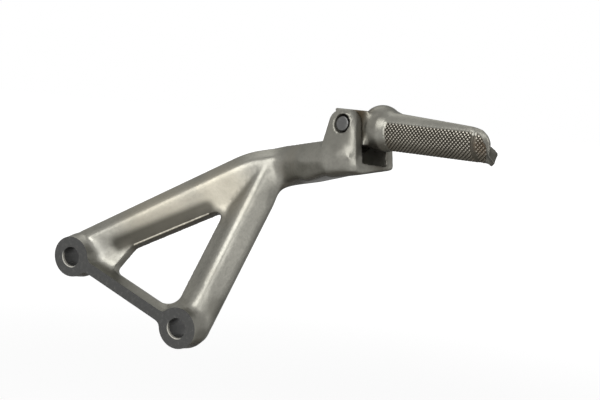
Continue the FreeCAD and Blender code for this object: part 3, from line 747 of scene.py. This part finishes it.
def knurlTree(sizes):
    # two staggered grids of points in a flat sheet, wrapped round the peg, with a diamond stud on each
    tree = bpy.data.node_groups.new("diamondKnurl", "GeometryNodeTree")
    tree.interface.new_socket(name="Geometry", in_out="OUTPUT", socket_type="NodeSocketGeometry")
    for name, value in sizes.items():
        socket = tree.interface.new_socket(name=name, in_out="INPUT", socket_type="NodeSocketFloat")
        socket.default_value = value
    for name in ("Crest", "Flank"):
        tree.interface.new_socket(name=name, in_out="INPUT", socket_type="NodeSocketMaterial")
    nodes, links = tree.nodes, tree.links
    given = nodes.new("NodeGroupInput").outputs
    out = nodes.new("NodeGroupOutput")

    def num(kind, *values):
        return calc(tree, kind, *values)

    pitch = given["Pitch"]
    core = given["Radius"]
    wrapRadius = num("ADD", core, given["Rise"])
    columns = num("FLOOR", num("DIVIDE", given["Length"], pitch))
    rows = num("FLOOR", num("DIVIDE", num("MULTIPLY", num("RADIANS", given["Arc"]), wrapRadius), pitch))
    join = nodes.new("GeometryNodeJoinGeometry")
    for shift in (0, 1):
        grid = nodes.new("GeometryNodeMeshGrid")
        for axis, count in (("X", num("SUBTRACT", columns, shift)), ("Y", num("SUBTRACT", rows, shift))):
            links.new(num("MULTIPLY", count, pitch), grid.inputs["Size " + axis])
            links.new(num("ADD", count, 1), grid.inputs["Vertices " + axis])
        links.new(grid.outputs["Mesh"], join.inputs["Geometry"])
    position = nodes.new("GeometryNodeInputPosition")
    flat = apart(tree, position.outputs[0])
    along = num("ADD", flat["X"], num("MULTIPLY", given["Length"], 0.5))
    angle = num("DIVIDE", flat["Y"], wrapRadius)
    # studs past the oblique end are left out
    off = num("SUBTRACT", num("ADD", num("DEGREES", angle), 180.0), given["Edge Turn"])
    above = num("MAXIMUM", num("MULTIPLY", off, -1.0), 0.0)
    below = num("MAXIMUM", num("SUBTRACT", off, given["Edge Flat"]), 0.0)
    fall = num("ADD", num("MULTIPLY", num("MULTIPLY", above, above), given["Edge Above"]),
               num("MULTIPLY", below, given["Edge Below"]))
    beyond = num("GREATER_THAN", num("ADD", along, given["Start"]), num("SUBTRACT", given["Edge Peak"], fall))
    trim = nodes.new("GeometryNodeDeleteGeometry")
    trim.domain = "POINT"
    links.new(join.outputs[0], trim.inputs["Geometry"])
    links.new(beyond, trim.inputs["Selection"])
    # the turn is kept with each point, since wrapping changes the positions it is read from
    turn = nodes.new("ShaderNodeCombineXYZ")
    links.new(num("ADD", angle, math.pi), turn.inputs["X"])
    keep = nodes.new("GeometryNodeStoreNamedAttribute")
    kept = nodes.new("GeometryNodeInputNamedAttribute")
    keep.domain = "POINT"
    for node in (keep, kept):
        node.data_type = "FLOAT_VECTOR"
        node.inputs["Name"].default_value = "turn"
    links.new(trim.outputs[0], keep.inputs["Geometry"])
    links.new(turn.outputs[0], keep.inputs["Value"])
    # wrap: X stays along the peg, Y becomes the angle
    wrapped = nodes.new("ShaderNodeCombineXYZ")
    links.new(along, wrapped.inputs["X"])
    links.new(num("MULTIPLY", core, num("SINE", angle)), wrapped.inputs["Y"])
    links.new(num("MULTIPLY", num("MULTIPLY", core, num("COSINE", angle)), -1.0), wrapped.inputs["Z"])
    bend = nodes.new("GeometryNodeSetPosition")
    links.new(keep.outputs[0], bend.inputs["Geometry"])
    links.new(wrapped.outputs[0], bend.inputs["Position"])
    stud = nodes.new("GeometryNodeMeshCone")
    stud.fill_type = "NGON"
    stud.inputs["Vertices"].default_value = 4
    links.new(num("MULTIPLY", pitch, 0.5), stud.inputs["Radius Bottom"])
    links.new(num("MULTIPLY", pitch, given["Flat"]), stud.inputs["Radius Top"])
    links.new(given["Height"], stud.inputs["Depth"])
    place = nodes.new("GeometryNodeInstanceOnPoints")
    links.new(bend.outputs[0], place.inputs["Points"])
    links.new(stud.outputs["Mesh"], place.inputs["Instance"])
    links.new(kept.outputs["Attribute"], place.inputs["Rotation"])
    real = nodes.new("GeometryNodeRealizeInstances")
    links.new(place.outputs[0], real.inputs[0])
    flank = nodes.new("GeometryNodeSetMaterial")
    links.new(real.outputs[0], flank.inputs["Geometry"])
    links.new(given["Flank"], flank.inputs["Material"])
    crest = nodes.new("GeometryNodeSetMaterial")
    links.new(flank.outputs[0], crest.inputs["Geometry"])
    links.new(stud.outputs["Top"], crest.inputs["Selection"])
    links.new(given["Crest"], crest.inputs["Material"])
    links.new(crest.outputs[0], out.inputs["Geometry"])
    return tree


def makeKnurl(tree, name, sizes):
    obj = meshObject(name + "Source", bpy.data.meshes.new(name + "Source"))
    modifier = obj.modifiers.new("knurl", "NODES")
    modifier.node_group = tree
    values = dict(sizes, Crest=knurlCrest, Flank=knurlFlank)
    for item in tree.interface.items_tree:
        if item.name in values:
            modifier[item.identifier] = values[item.name]
    mesh = evaluated(obj, name)
    mesh.transform(Matrix.Translation(pivot) @ pegTurn.to_4x4() @ Matrix.Scale(mm, 4)
                   @ Matrix.Translation((sizes["Start"], 0, 0)))
    form = bmesh.new()
    form.from_mesh(mesh)
    bmesh.ops.recalc_face_normals(form, faces=form.faces)
    form.to_mesh(mesh)
    form.free()
    markUnderShade(mesh)
    piece = meshObject(name, mesh)
    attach(piece, "footpeg")
    print(name, "has", len(mesh.polygons), "faces")
    return piece


darkenGround()
gripSizes = knurlSizes("knurlStart", "knurlEnd", grip["knurlMargins"])
patchSizes = knurlSizes("patchStart", "patchEnd", grip["patchMargins"])
knurl = knurlTree(gripSizes)
gripKnurl = makeKnurl(knurl, "gripKnurl", gripSizes)
lipKnurl = makeKnurl(knurl, "lipKnurl", patchSizes)


steelLook = {"metallic": 0.9, "wear": (420.0, 4.0, 0.7), "wearRange": (0.45, 0.75),
             "sheen": (300.0, (0.3, 0.7), 0.06, 0.10), "grainScale": 900.0, "grainDepth": (0.00003, 0.4)}
steelParts = {  # colour, roughness, colour where worn, the nodes made of it
    "pinSteel": ((0.088, 0.088, 0.086), 0.36, (0.13, 0.13, 0.125), ["hinge_pin"]),
    "washerSteel": ((0.42, 0.41, 0.38), 0.34, (0.25, 0.24, 0.22), ["pin_washer"]),
    "clipSteel": ((0.035, 0.035, 0.037), 0.38, (0.07, 0.07, 0.07), ["retaining_clip"]),
    "brightSteel": ((0.55, 0.55, 0.55), 0.18, (0.42, 0.42, 0.42), ["detent_ball", "detent_spring"]),
}


def steelFinish(name, colour, roughness, wornColour):
    material, tree, shader, where = finish(name, colour, steelLook["metallic"], roughness)
    worn = ramp(tree, noise(tree, where, *steelLook["wear"]), *steelLook["wearRange"])
    tree.links.new(blendColour(tree, worn, colour, wornColour), shader.inputs["Base Color"])
    addSheen(tree, shader, where, roughness, *steelLook["sheen"])
    bump(tree, shader, [(noise(tree, where, steelLook["grainScale"]), *steelLook["grainDepth"])])
    return material


# pin, washer, clip, ball and spring keep their CAD shapes
for name, (colour, roughness, wornColour, nodeNames) in steelParts.items():
    steel = steelFinish(name, colour, roughness, wornColour)
    for nodeName in nodeNames:
        for holder in frame["nodes"][nodeName].material_slots:
            holder.material = steel

print("all pieces are made")
